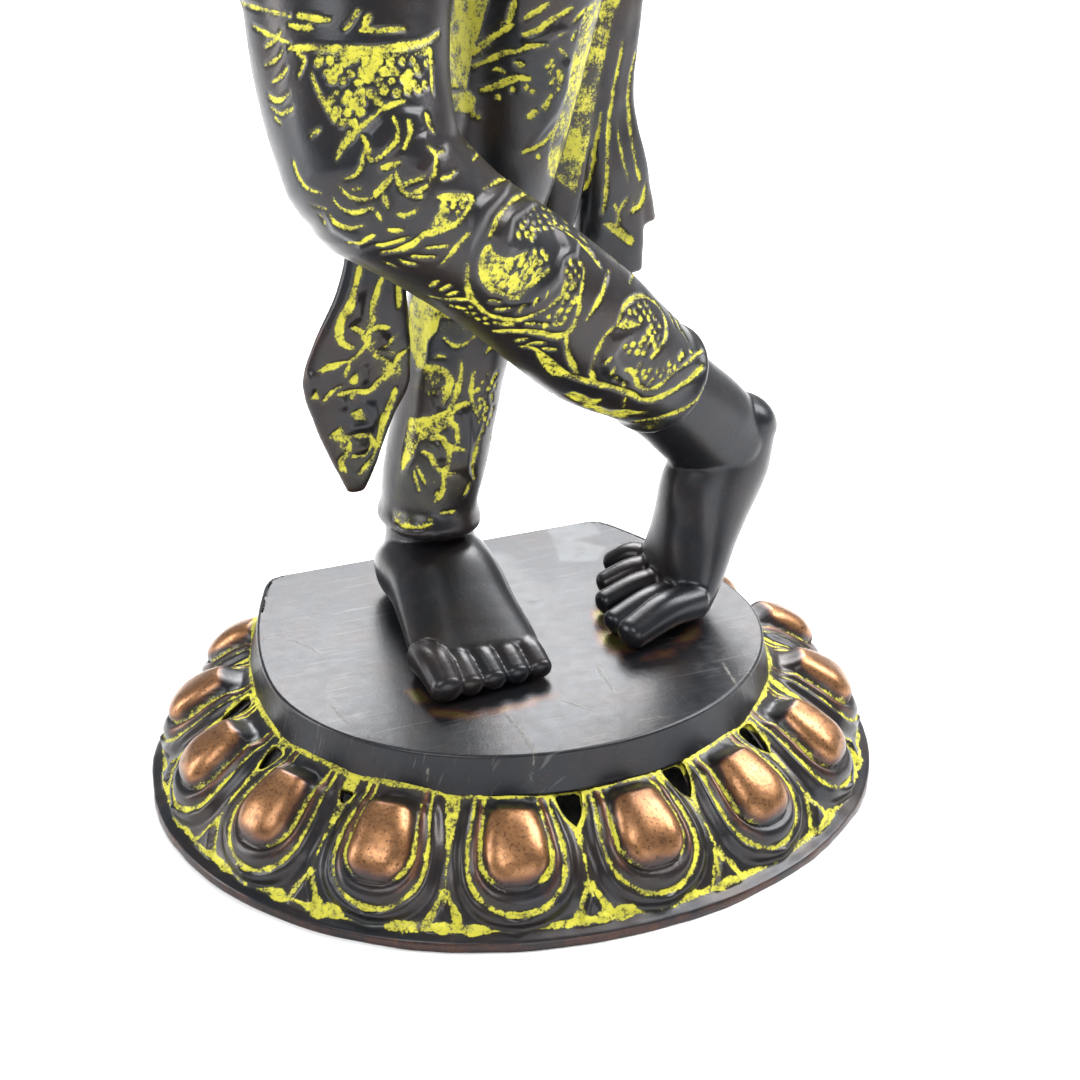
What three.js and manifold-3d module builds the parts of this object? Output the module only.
// A cast brass figure of a woman standing cross-legged under a bough, on an oval lotus plinth.
// Millimetres, +Z up. The origin is on the ground at the middle of the plinth's foot.
// +X is the figure's left, and she faces -Y.
import * as THREE from "three";
import { mergeVertices } from "three/addons/utils/BufferGeometryUtils.js";
import Module from "manifold-3d";

const wasm = await Module();
wasm.setup();

// Plinth
const RIM_HALF_WIDTH = 120;
const RIM_HALF_DEPTH = 110.6;
const RIM_FULLNESS = 1.3; // how far the oval swells past an ellipse on its diagonals
const RIM_EDGE = 3;
const PETALS = 16;
const FRONT_PETAL_AT = 0.7565; // share of the rim's length, from +X by way of the back, where a petal is centred
const PETAL_SPLITS = 6;
const DOME_RISE = 9;
const BAND_RISE = 2.2;
const SLAB_TOP = 43.6;
const SLAB_FOOT = 32;
const SLAB_HALF_WIDTH = 82.7;
const SLAB_HALF_DEPTH = 73.8;
const SLAB_NARROWS = 20; // how far each side draws in by the back
const SLAB_CORNER = 6;
const SLAB_BACK = 71.5;
const SLAB_CENTRE_Y = -2.2;
const SLAB_FLARE = 2.5;
const PLINTH_WALL = 4;
const GAP_INWARD = 29;
const GAP_HEIGHT = 26.5;

// Figure
const TREAD = SLAB_TOP + 0.3; // the soles' level, a hair above the slab
const HEM_LIP = 1.5;
const OVERCLOTH = 1.5; // thickness of the second cloth over the crossing thigh

const BRONZE = { color: 0x2b2c31, roughness: 0.38, metalness: 0.85 };
const LOTUS_BRONZE = { color: 0x3a322c, roughness: 0.45, metalness: 0.8 };

const TAU = Math.PI * 2;
const { clamp, lerp, smoothstep } = THREE.MathUtils;
const bump = (x, at, width) => Math.exp(-(((x - at) / width) ** 2));
const vec = (a) => new THREE.Vector3(a[0], a[1], a[2]);

// A closed three.js geometry as a solid.
function solid(geometry) {
  geometry.deleteAttribute("normal");
  geometry.deleteAttribute("uv");
  const merged = mergeVertices(geometry, 1e-4);
  return new wasm.Manifold(
    new wasm.Mesh({
      numProp: 3,
      vertProperties: merged.attributes.position.array,
      triVerts: new Uint32Array(merged.index.array),
    }),
  );
}

const join = (pieces) => pieces.reduce((all, piece) => all.add(piece));

// Rings of equal count between two poles, closed into one skin.
function skin(rings, firstPole, lastPole) {
  const sides = rings[0].length;
  const points = [firstPole, ...rings.flat(), lastPole];
  const last = points.length - 1;
  const at = (row, side) => 1 + row * sides + (side % sides);
  const index = [];
  for (let i = 0; i < sides; i++) {
    index.push(0, at(0, i + 1), at(0, i));
    index.push(last, at(rings.length - 1, i), at(rings.length - 1, i + 1));
    for (let row = 0; row + 1 < rings.length; row++) {
      index.push(at(row, i), at(row, i + 1), at(row + 1, i));
      index.push(at(row, i + 1), at(row + 1, i + 1), at(row + 1, i));
    }
  }
  const geometry = new THREE.BufferGeometry().setFromPoints(points);
  geometry.setIndex(index);
  return geometry;
}

// A form lofted through stations [x, y, z, half width, half depth], with rounded ends.
// surface(along, turn) adds height outwards; turn 0 faces the loft's side, a quarter turn its front.
function loft(stations, options) {
  const {
    steps = 10,
    sides = 14,
    front = [0, -1, 0],
    square = 2,
    surface = () => 0,
    startCap = 0.5,
    endCap = 0.5,
  } = options;
  const line = new THREE.CatmullRomCurve3(stations.map(vec), false, "centripetal");
  const sizes = new THREE.CatmullRomCurve3(
    stations.map((s) => new THREE.Vector3(s[3], s[4], 0)),
    false,
    "catmullrom",
  );
  const ringAt = (along, shrink, push) => {
    const tangent = line.getTangent(along);
    const side = new THREE.Vector3().crossVectors(vec(front), tangent).normalize();
    const depth = new THREE.Vector3().crossVectors(tangent, side).normalize();
    const size = sizes.getPoint(along);
    const centre = line.getPoint(along).addScaledVector(tangent, push);
    return Array.from({ length: sides }, (_, i) => {
      const turn = (i / sides) * TAU;
      const c = Math.cos(turn);
      const s = Math.sin(turn);
      const raise = surface(along, turn) * shrink;
      const x = Math.sign(c) * Math.abs(c) ** (2 / square) * size.x * shrink + c * raise;
      const y = Math.sign(s) * Math.abs(s) ** (2 / square) * size.y * shrink + s * raise;
      return centre.clone().addScaledVector(side, x).addScaledVector(depth, y);
    });
  };
  // An end is a dome: two shrinking rings, or one on a blunt end, and the pole.
  const domeAt = (along, cap, sign) => {
    const size = sizes.getPoint(along);
    const reach = sign * Math.min(size.x, size.y) * cap;
    const turns = cap > 0.7 ? [0.5, 1.05] : [0.75];
    return {
      rings: turns.map((turn) => ringAt(along, Math.cos(turn), reach * Math.sin(turn))),
      pole: line.getPoint(along).addScaledVector(line.getTangent(along), reach),
    };
  };
  const start = domeAt(0, startCap, -1);
  const end = domeAt(1, endCap, 1);
  const rings = Array.from({ length: steps + 1 }, (_, i) => ringAt(i / steps, 1, 0));
  return solid(skin([...start.rings.reverse(), ...rings, ...end.rings], start.pole, end.pole));
}

// The rim's oval, walked by equal lengths: share 0 is +X, and inward is measured square to the rim.
function rimPoint(angle) {
  const swell = RIM_FULLNESS * Math.sin(2 * angle) ** 2;
  return [(RIM_HALF_WIDTH + swell) * Math.cos(angle), (RIM_HALF_DEPTH + swell) * Math.sin(angle)];
}
const WALK_STEPS = 1440;
const walked = [0];
for (let i = 1; i <= WALK_STEPS; i++) {
  const [x0, y0] = rimPoint(((i - 1) / WALK_STEPS) * TAU);
  const [x1, y1] = rimPoint((i / WALK_STEPS) * TAU);
  walked.push(walked[i - 1] + Math.hypot(x1 - x0, y1 - y0));
}
const RIM_LENGTH = walked[WALK_STEPS];

function onOval(share, inward) {
  const target = (share - Math.floor(share)) * RIM_LENGTH;
  let i = walked.findIndex((length) => length > target);
  i = clamp(i < 0 ? WALK_STEPS : i, 1, WALK_STEPS);
  const part = (target - walked[i - 1]) / (walked[i] - walked[i - 1]);
  const angle = ((i - 1 + part) / WALK_STEPS) * TAU;
  const [x, y] = rimPoint(angle);
  const [aheadX, aheadY] = rimPoint(angle + 0.01);
  const normal = new THREE.Vector2(aheadY - y, x - aheadX).normalize();
  return [x - normal.x * inward, y - normal.y * inward];
}

// The lotus ring's section, from the ground edge to under the slab: [inward, height].
const RING_SECTION = [
  [0, 0],
  [0.4, RIM_EDGE],
  [4.5, 5.2],
  [8, 11],
  [13, 17.3],
  [20, 22.8],
  [28.5, 27.8],
  [36, 33],
];
const PETAL_FOOT_ROW = 2;

// Height of a petal's carving: across is -1 to 1 between its neighbours, up is 0 at its foot.
function petalRise(across, up) {
  const dome = Math.max(0, 1 - (across / 0.56) ** 2 - ((up - 0.5) / 0.45) ** 2);
  const band = bump(Math.abs(across), 0.74, 0.17) * smoothstep(up, 0.05, 0.3);
  return DOME_RISE * Math.sqrt(dome) + BAND_RISE * band;
}

function lotusRing() {
  const around = PETALS * PETAL_SPLITS;
  const slope = Math.PI / 4; // the carving stands square to the ring's slope
  const rings = RING_SECTION.map(([inward, height], row) =>
    Array.from({ length: around }, (_, i) => {
      const petal = i / PETAL_SPLITS;
      const across = (petal - Math.round(petal)) * 2;
      const up = (row - PETAL_FOOT_ROW) / (RING_SECTION.length - 1 - PETAL_FOOT_ROW);
      const rise = up > 0 ? petalRise(across, up) : 0;
      const [x, y] = onOval(FRONT_PETAL_AT + petal / PETALS, inward - rise * Math.cos(slope));
      return new THREE.Vector3(x, y, height + rise * Math.sin(slope));
    }),
  );
  const top = RING_SECTION.at(-1)[1];
  return solid(skin(rings, new THREE.Vector3(0, 0, 0), new THREE.Vector3(0, 0, top)));
}

// The slab's outline: half an oval in front, sides that draw in towards a straight back, blunt corners.
function slabOutline(grow) {
  const width = SLAB_HALF_WIDTH + grow;
  const frontSteps = 20;
  const points = [];
  for (let i = 0; i <= frontSteps; i++) {
    const angle = Math.PI * (1 + i / frontSteps);
    const y = SLAB_CENTRE_Y + (SLAB_HALF_DEPTH + grow) * Math.sin(angle);
    points.push([width * Math.cos(angle), y]);
  }
  const back = SLAB_BACK + grow - SLAB_CENTRE_Y;
  const side = [0.18, 0.36, 0.54, 0.7, 0.84, 0.93].map((t) => [
    width - SLAB_NARROWS * t ** 1.8,
    SLAB_CENTRE_Y + back * t,
  ]);
  const cornerX = side.at(-1)[0];
  const cornerY = side.at(-1)[1];
  side.push([cornerX - SLAB_CORNER * 0.5, lerp(cornerY, SLAB_CENTRE_Y + back, 0.75)]);
  side.push([cornerX - SLAB_CORNER * 1.2, SLAB_CENTRE_Y + back]);
  const mirrored = side.map(([x, y]) => [-x, y]).reverse();
  return [...points, ...side, ...mirrored];
}

function slab() {
  const levels = [
    [SLAB_FOOT - 3, SLAB_FLARE],
    [SLAB_FOOT + 4, SLAB_FLARE * 0.9],
    [SLAB_TOP - 2, 0.9],
    [SLAB_TOP, 0],
  ];
  const rings = levels.map(([z, grow]) =>
    slabOutline(grow).map(([x, y]) => new THREE.Vector3(x, y, z)),
  );
  const low = new THREE.Vector3(0, 0, levels[0][0]);
  const high = new THREE.Vector3(0, 0, SLAB_TOP);
  return solid(skin(rings, low, high));
}

// The hollow under the ring and the slab, open at the ground.
function plinthHollow() {
  const around = 24;
  const ceiling = SLAB_TOP - PLINTH_WALL;
  const section = [
    [PLINTH_WALL, -5],
    [PLINTH_WALL + 0.6, 0.8],
    [PLINTH_WALL + 4.5, 1.6],
    [PLINTH_WALL + 8.2, 8],
    [PLINTH_WALL + 12.5, 13.4],
    [PLINTH_WALL + 19, 18.6],
    [PLINTH_WALL + 36, 28.5],
    [PLINTH_WALL + 39, ceiling],
  ];
  const rings = section.map(([inward, z]) =>
    Array.from({ length: around }, (_, i) => {
      const [x, y] = onOval(i / around, inward);
      return new THREE.Vector3(x, y, z);
    }),
  );
  return solid(skin(rings, new THREE.Vector3(0, 0, -5), new THREE.Vector3(0, 0, ceiling)));
}

// A gap between two petals, close under the slab: a blunt triangle with its point down.
function gapHole(petal, width, length) {
  const share = FRONT_PETAL_AT + (petal + 0.5) / PETALS;
  const [x, y] = onOval(share, GAP_INWARD);
  const [outX, outY] = onOval(share, 0);
  const out = new THREE.Vector3(outX - x, outY - y, 0).normalize();
  const across = new THREE.Vector3(-out.y, out.x, 0);
  const down = out.clone().add(new THREE.Vector3(0, 0, -1)).normalize();
  const through = new THREE.Vector3().crossVectors(across, down);
  const centre = new THREE.Vector3(x, y, GAP_HEIGHT);
  const place = (a, d, t) =>
    centre.clone().addScaledVector(across, a).addScaledVector(down, d).addScaledVector(through, t);
  const corners = [
    [0.5, -0.35],
    [0.4, 0.1],
    [0, 0.55],
    [-0.4, 0.1],
    [-0.5, -0.35],
  ];
  const rings = [-9, 9].map((t) => corners.map(([a, d]) => place(a * width, d * length, t)));
  return solid(skin(rings, place(0, 0, -9), place(0, 0, 9)));
}

// Which gaps are open: [counted from the front petal to the figure's left, width, length].
const GAPS = [
  [0, 8, 12],
  [1, 7, 10.5],
  [4, 6, 9],
  [7, 6, 9],
  [-1, 7.5, 11.5],
  [-3, 4.5, 4.5],
  [-4, 6, 7],
  [-5, 8.5, 12.5],
  [-7, 6, 9],
];

function makePlinth() {
  const body = lotusRing().add(slab()).subtract(plinthHollow());
  return GAPS.reduce((rest, [petal, width, length]) => {
    return rest.subtract(gapHole(petal, width, length));
  }, body);
}

// Legs. Stations are [x, y, z, half width, half depth] along each limb.
const STANDING_LEG = [
  [-15.4, 36.5, 73, 15.4, 17.5],
  [-14.6, 36.5, 84, 15.6, 18],
  [-11.6, 37, 97, 16, 19],
  [-7.6, 38, 113, 16.3, 19.5],
  [-2.4, 38.5, 138, 17.6, 19.5],
  [5, 38.5, 172, 18.5, 20],
  [13, 38, 200, 20, 22],
  [19, 38, 238, 23.5, 26],
  [24, 37, 285, 28, 32],
  [25, 35, 330, 31, 34],
  [23, 35, 362, 26, 29],
];
const CROSSING_THIGH = [
  [-36, 33, 362, 30, 32],
  [-39.5, 27, 332, 32, 35],
  [-43, 16, 295, 32, 34],
  [-46.5, 4, 258, 29.5, 31],
  [-49.5, -8, 232, 27, 29],
  [-49, -19, 211, 25, 26.5],
];
const CROSSING_SHIN = [
  [-46, -21, 205, 24.5, 26],
  [-28, -19, 189.5, 21.5, 24],
  [-3, -14, 169.5, 21.6, 22],
  [25, -7, 145, 21.8, 21],
  [40, -3, 133.8, 19.2, 20.5],
  [51, 0, 125, 17, 19],
];
const CROSSING_ANKLE = [
  [46, -1, 127, 16.5, 16.5],
  [58, 2, 116.5, 16.5, 16.5],
  [71, 4.5, 104, 17, 15.5],
  [79, 5, 96, 15, 14],
];
const CROSSING_FOOT = [
  [85.5, 5, 104, 11.5, 11],
  [79, 4.5, 94, 16.3, 13],
  [71.8, 3, 83, 16.8, 14.5],
  [66.8, 2, 70, 13.7, 17],
  [62.2, 1, 58, 11.3, 20],
  [58.5, 1, 50, 8.5, 22.5],
];
const CROSSING_TOES = [
  [31, -25],
  [30, -14],
  [33, 0],
  [39, 13],
  [48, 27],
];
const STANDING_ANKLE = [
  [-14.5, 40, 50, 16.6, 17],
  [-14.3, 39.5, 62, 15, 16],
  [-14.3, 38, 80, 14.5, 15.5],
];
const STANDING_FOOT = [
  [-15.5, 48, 53, 16, 9.5],
  [-15.5, 36, 56, 19, 13],
  [-16, 20, 56, 19, 13.5],
  [-17.5, 4, 53, 19.5, 10.5],
  [-18.5, -10, 50, 20.5, 8],
  [-19.5, -20, 48.5, 20.5, 6],
];
const TOE_SPREAD = 8.1;
const BIG_TOE_X = -36;
const TOE_ROOT_Y = -14;
const TOE_TIP_Y = -35;

function toe(root, tip, radius) {
  const knuckle = [0, 1, 2].map((i) => lerp(root[i], tip[i], 0.45));
  knuckle[2] += radius * 0.35;
  const stations = [
    [...root, radius, radius],
    [...knuckle, radius * 1.05, radius],
    [...tip, radius * 0.95, radius * 0.85],
  ];
  return loft(stations, { steps: 2, sides: 5, front: [0, 0, 1], square: 2.3, endCap: 0.7 });
}

function standingFoot() {
  const toes = Array.from({ length: 5 }, (_, i) => {
    const radius = i ? 4.6 - i * 0.15 : 5.6;
    const x = BIG_TOE_X + i * TOE_SPREAD;
    const root = [x, TOE_ROOT_Y, TREAD + radius];
    return toe(root, [x, TOE_TIP_Y + i * 0.8, TREAD + radius * 0.9], radius);
  });
  const foot = loft(STANDING_FOOT, { steps: 5, sides: 9, front: [0, 0, 1], square: 2.3 });
  const ankle = loft(STANDING_ANKLE, { steps: 2, sides: 9 });
  return join([foot, ankle, ...toes]);
}

function crossingFoot() {
  const toes = CROSSING_TOES.map(([x, y], i) => {
    const radius = i ? 4.8 : 5.8;
    const rootY = lerp(-17, 20, i / 4);
    return toe([58, rootY, TREAD + radius + 2.5], [x, y, TREAD + radius * 0.9], radius);
  });
  const foot = loft(CROSSING_FOOT, { steps: 6, sides: 9, startCap: 0.8 });
  const ankle = loft(CROSSING_ANKLE, { steps: 3, sides: 9 });
  return join([foot, ankle, ...toes]);
}

// Wrapped cloth: a hem lip, and on the thigh an over-cloth that ends in a raised edge.
function legCloth() {
  const hemAtStart = (along) => HEM_LIP * bump(along, 0.01, 0.035);
  const knobTurn = 0.3 * Math.PI;
  const standing = loft(STANDING_LEG, {
    steps: 14,
    sides: 12,
    startCap: 0.1,
    surface: (along, turn) =>
      hemAtStart(along) + 4 * bump(along, 0.03, 0.03) * bump(turn, knobTurn, 0.5),
  });
  const thigh = loft(CROSSING_THIGH, {
    steps: 8,
    sides: 12,
    endCap: 1,
    surface: (along) => OVERCLOTH * (1 - smoothstep(along, 0.62, 0.68)),
  });
  const shin = loft(CROSSING_SHIN, {
    steps: 8,
    sides: 12,
    startCap: 0.9,
    endCap: 0.1,
    surface: (along) => HEM_LIP * bump(along, 0.98, 0.04),
  });
  return join([standing, thigh, shin]);
}

// Hanging ends of the sashes.
const LEFT_SASH = [
  [64, 24, 338, 8, 6],
  [60, 38, 290, 8.5, 7],
  [55.5, 48, 235, 8.3, 7],
  [53, 50, 203, 9.3, 7.5],
  [55.3, 51, 182, 12.2, 8],
  [58, 52, 160, 14.6, 6],
];
const LEFT_SASH_UNDER = [
  [52, 49, 205, 8, 5],
  [55.5, 50, 175, 11.5, 5],
  [55.5, 50, 145, 12.6, 4],
];
const SIDE_WEB = [
  [46, 42, 310, 12, 7],
  [43, 45, 235, 8.5, 5],
  [36, 46, 178, 8, 4.5],
  [33, 46, 160, 6, 3.5],
];
const RIGHT_SASH = [
  [-40, 46, 305, 13, 4.5],
  [-37, 38, 235, 11, 4.5],
  [-33.5, 31, 185, 7.2, 4],
  [-35, 28, 156, 10.8, 3.6],
  [-40.8, 28, 130, 17, 3.4],
  [-42.4, 28, 115, 12.6, 3.2],
  [-43, 27, 101, 6.8, 2.8],
  [-43.5, 26, 92, 2.5, 2],
];

function sashes() {
  const pleats = (depth, count) => (along, turn) => depth * Math.cos(turn * count);
  return join([
    loft(LEFT_SASH, { steps: 6, sides: 12, square: 2.6, endCap: 0.15, surface: pleats(0.9, 3) }),
    loft(LEFT_SASH_UNDER, { steps: 3, sides: 6, square: 3, endCap: 0.2 }),
    loft(SIDE_WEB, { steps: 4, sides: 6, square: 3 }),
    loft(RIGHT_SASH, { steps: 8, sides: 8, square: 2.6, surface: pleats(0.5, 2) }),
  ]);
}

// Body, arms and head.
const TORSO = [
  [-5, 33, 305, 38, 26],
  [-5, 33, 332, 56, 34],
  [-5, 33, 358, 59, 36],
  [-6, 31, 385, 46, 30],
  [-8, 28, 406, 37, 25],
  [-10, 28, 430, 38, 26],
  [-13, 28, 458, 44, 29],
  [-14, 29, 482, 48, 28],
  [-13, 31, 499, 47, 22],
  [-12, 33, 510, 35, 17],
  [-11, 33, 518, 20, 13.5],
];
const NECK = [
  [-11, 33, 505, 15, 14],
  [-9.5, 31, 524, 11.5, 12],
  [-8, 29, 545, 12, 13],
];
const HEAD = [
  [-7, 22, 541, 10, 12],
  [-7, 25, 548, 17.5, 20],
  [-6.5, 27, 561, 23, 26],
  [-6, 29, 577, 26, 30],
  [-5.5, 30, 594, 26, 31],
  [-5, 31, 609, 21, 25],
  [-5, 31, 617, 12, 15],
];
const RIGHT_ARM = [
  [-40, 33, 490, 17, 15],
  [-59, 32, 507, 15.5, 14.5],
  [-77, 29, 538, 12.5, 12.5],
  [-101, 24, 580, 10.5, 10.5],
  [-90, 18, 610, 10.5, 10],
  [-62, 10, 646, 7.5, 7.5],
];
const LEFT_ARM = [
  [20, 34, 494, 15, 14],
  [36, 34, 491, 15.5, 15],
  [48, 38, 464, 13, 13],
  [62, 45, 424, 10.5, 10.5],
  [67, 38, 394, 10.5, 10],
  [65.5, 23, 346, 7.5, 7.5],
];

// A closed hand: a rounded fist whose four fingers show as ridges, and a thumb over them.
// reach points along the forearm and row along the knuckles.
function fist(centre, reach, row) {
  const along = vec(reach).normalize();
  const across = vec(row).normalize();
  const face = new THREE.Vector3().crossVectors(along, across).normalize();
  const place = (a, r, f) =>
    vec(centre).addScaledVector(along, a).addScaledVector(across, r).addScaledVector(face, f).toArray();
  const fingerRidges = (share) => 0.9 * Math.cos(share * 4 * TAU);
  const hand = loft(
    [
      [...place(1, -13, -3), 9, 8],
      [...place(3, 0, -3), 12.5, 9.5],
      [...place(1, 12, -3), 10, 8.5],
    ],
    { steps: 8, sides: 5, front: face.toArray(), surface: fingerRidges },
  );
  const thumb = loft(
    [
      [...place(-8, 12, -4), 3.8, 3.8],
      [...place(2, 10, -13), 3.4, 3.4],
      [...place(5, -1, -13.5), 3, 3],
    ],
    { steps: 2, sides: 5, front: along.toArray() },
  );
  return join([hand, thumb]);
}

function ringAround(centre, radiusX, radiusY, thickness, splits = 20) {
  const ring = new THREE.TorusGeometry(1, thickness / radiusX, 4, splits);
  ring.scale(radiusX, radiusY, radiusX);
  ring.translate(...centre);
  return solid(ring);
}

// Height of the features over the plain oval of the face, whose middle is at a quarter turn.
function faceRelief(along, turn) {
  const off = turn - 0.25 * TAU;
  const nose = 6 * bump(off, 0, 0.13) * smoothstep(along, 0.33, 0.38) * (1 - smoothstep(along, 0.4, 0.66));
  const lips = 2 * bump(off, 0, 0.2) * bump(along, 0.25, 0.04);
  const chin = 2 * bump(off, 0, 0.28) * bump(along, 0.1, 0.08);
  const sockets = -2.2 * bump(Math.abs(off), 0.36, 0.18) * bump(along, 0.52, 0.06);
  const brow = 1.2 * bump(Math.abs(off), 0.34, 0.3) * bump(along, 0.62, 0.04);
  return nose + lips + chin + sockets + brow;
}

function crownLeaf(index) {
  const turn = -Math.PI / 2 + index * 0.62;
  const tall = 30 - Math.abs(index) * 5;
  const out = [Math.cos(turn), Math.sin(turn)];
  const at = (z, lean) => [-5.5 + out[0] * (26 + lean), 30 + out[1] * (30 + lean), z];
  return loft(
    [
      [...at(598, 1), 6.5, 2.2],
      [...at(598 + tall * 0.4, 2), 8, 2.6],
      [...at(598 + tall, 1), 2, 1.6],
    ],
    { steps: 2, sides: 5, front: [...out, 0] },
  );
}

function head() {
  const skull = loft(HEAD, { steps: 11, sides: 14, surface: faceRelief });
  const hair = loft(
    [
      [-6, 38, 548, 18, 16],
      [-5.5, 38, 572, 26.5, 25.5],
      [-5, 35, 596, 27.5, 29],
      [-4.5, 33, 614, 22, 24],
      [-4.5, 33, 622, 14, 15],
    ],
    { steps: 4, sides: 10 },
  );
  const bun = loft(
    [
      [-4.5, 34, 618, 13, 13],
      [-4, 34, 632, 16, 16],
      [-4, 34, 646, 11, 11],
      [-4, 34, 654, 5, 5],
    ],
    { steps: 4, sides: 9, surface: (along, turn) => Math.cos(3 * turn + 8 * along) },
  );
  const band = ringAround([-5.5, 30, 598], 26.5, 31, 2.8, 14);
  const ears = [-1, 1].flatMap((side) => [
    loft(
      [
        [-6.5 + side * 26.5, 32, 582, 3, 6],
        [-6.5 + side * 28, 32, 570, 3, 6.5],
        [-6.5 + side * 27, 31, 554, 2.5, 3.5],
      ],
      { steps: 2, sides: 5 },
    ),
    loft(
      [
        [-6.5 + side * 25, 30, 551, 8, 8],
        [-6.5 + side * 30, 30, 551, 8, 8],
      ],
      { steps: 1, sides: 6, front: [0, 0, 1] },
    ),
  ]);
  const leaves = [-2, -1, 0, 1, 2].map(crownLeaf);
  return join([skull, hair, bun, band, ...ears, ...leaves]);
}

// The bough that the raised hand holds: a bent stem with leaves along both sides.
const BOUGH = [
  [-96, 8, 652],
  [-58, 2, 664],
  [-16, 2, 672],
  [24, 10, 664],
];
const LEAF_LENGTH = 24;

function bough() {
  const line = new THREE.CatmullRomCurve3(BOUGH.map(vec));
  const stem = loft(
    BOUGH.map((p, i) => [...p, 3.6 - i * 0.5, 3.6 - i * 0.5]),
    { steps: 5, sides: 5 },
  );
  const leaf = (along, side) => {
    const root = line.getPoint(along);
    const way = line.getTangent(along).multiplyScalar(0.65);
    way.add(new THREE.Vector3(0, -0.25, side)).normalize();
    const at = (share) => root.clone().addScaledVector(way, share * LEAF_LENGTH).toArray();
    return loft(
      [
        [...at(0.02), 1.8, 1.6],
        [...at(0.5), 6.5, 1.9],
        [...at(1), 1.2, 1.2],
      ],
      { steps: 2, sides: 4 },
    );
  };
  const leaves = [0.52, 0.74, 0.96].flatMap((t) => [leaf(t, 1), leaf(t, -1)]);
  return join([stem, ...leaves]);
}

// A bangle at the wrist and an armlet above the elbow.
const bangles = (along) => 1.8 * bump(along, 0.93, 0.03) + 1.5 * bump(along, 0.3, 0.03);

function body() {
  const trunk = loft(TORSO, {
    steps: 11,
    sides: 12,
    square: 2.2,
    surface: (along) => 3.5 * bump(along, 0.25, 0.05),
  });
  const bodice = [-1, 1].map((side) =>
    loft(
      [
        [-13 + side * 20, 22, 470, 18, 18],
        [-13 + side * 21, 10, 471, 17, 17],
      ],
      { steps: 1, sides: 8, front: [0, 0, 1], startCap: 0.1, endCap: 0.72 },
    ),
  );
  const arms = [RIGHT_ARM, LEFT_ARM].map((stations) =>
    loft(stations, { steps: 9, sides: 7, surface: bangles }),
  );
  const hands = [
    fist([-58, 7, 655], [0.6, -0.2, 0.8], [0.9, 0, 0.3]),
    fist([65, 20, 339], [0, -0.3, -1], [1, 0, 0]),
  ];
  const neck = loft(NECK, { steps: 2, sides: 10 });
  return join([trunk, ...bodice, ...arms, ...hands, neck]);
}

function makeFigure() {
  const made = join([
    standingFoot(),
    crossingFoot(),
    legCloth(),
    sashes(),
    body(),
    head(),
    bough(),
  ]);
  const below = new THREE.BoxGeometry(260, 260, 40).translate(0, 0, TREAD - 20);
  return made.subtract(solid(below));
}

function mesh(name, made, finish) {
  const { numProp, vertProperties, triVerts, numVert } = made.getMesh();
  const places = new Float32Array(numVert * 3);
  for (let i = 0; i < numVert; i++) {
    places.set(vertProperties.subarray(i * numProp, i * numProp + 3), i * 3);
  }
  const geometry = new THREE.BufferGeometry();
  geometry.setAttribute("position", new THREE.BufferAttribute(places, 3));
  geometry.setIndex(new THREE.BufferAttribute(triVerts, 1));
  geometry.computeVertexNormals();
  const piece = new THREE.Mesh(geometry, new THREE.MeshStandardMaterial(finish));
  piece.name = name;
  return piece;
}

const group = new THREE.Group();
group.add(mesh("figure", makeFigure(), BRONZE));
group.add(mesh("lotus_plinth", makePlinth(), LOTUS_BRONZE));

export default group;
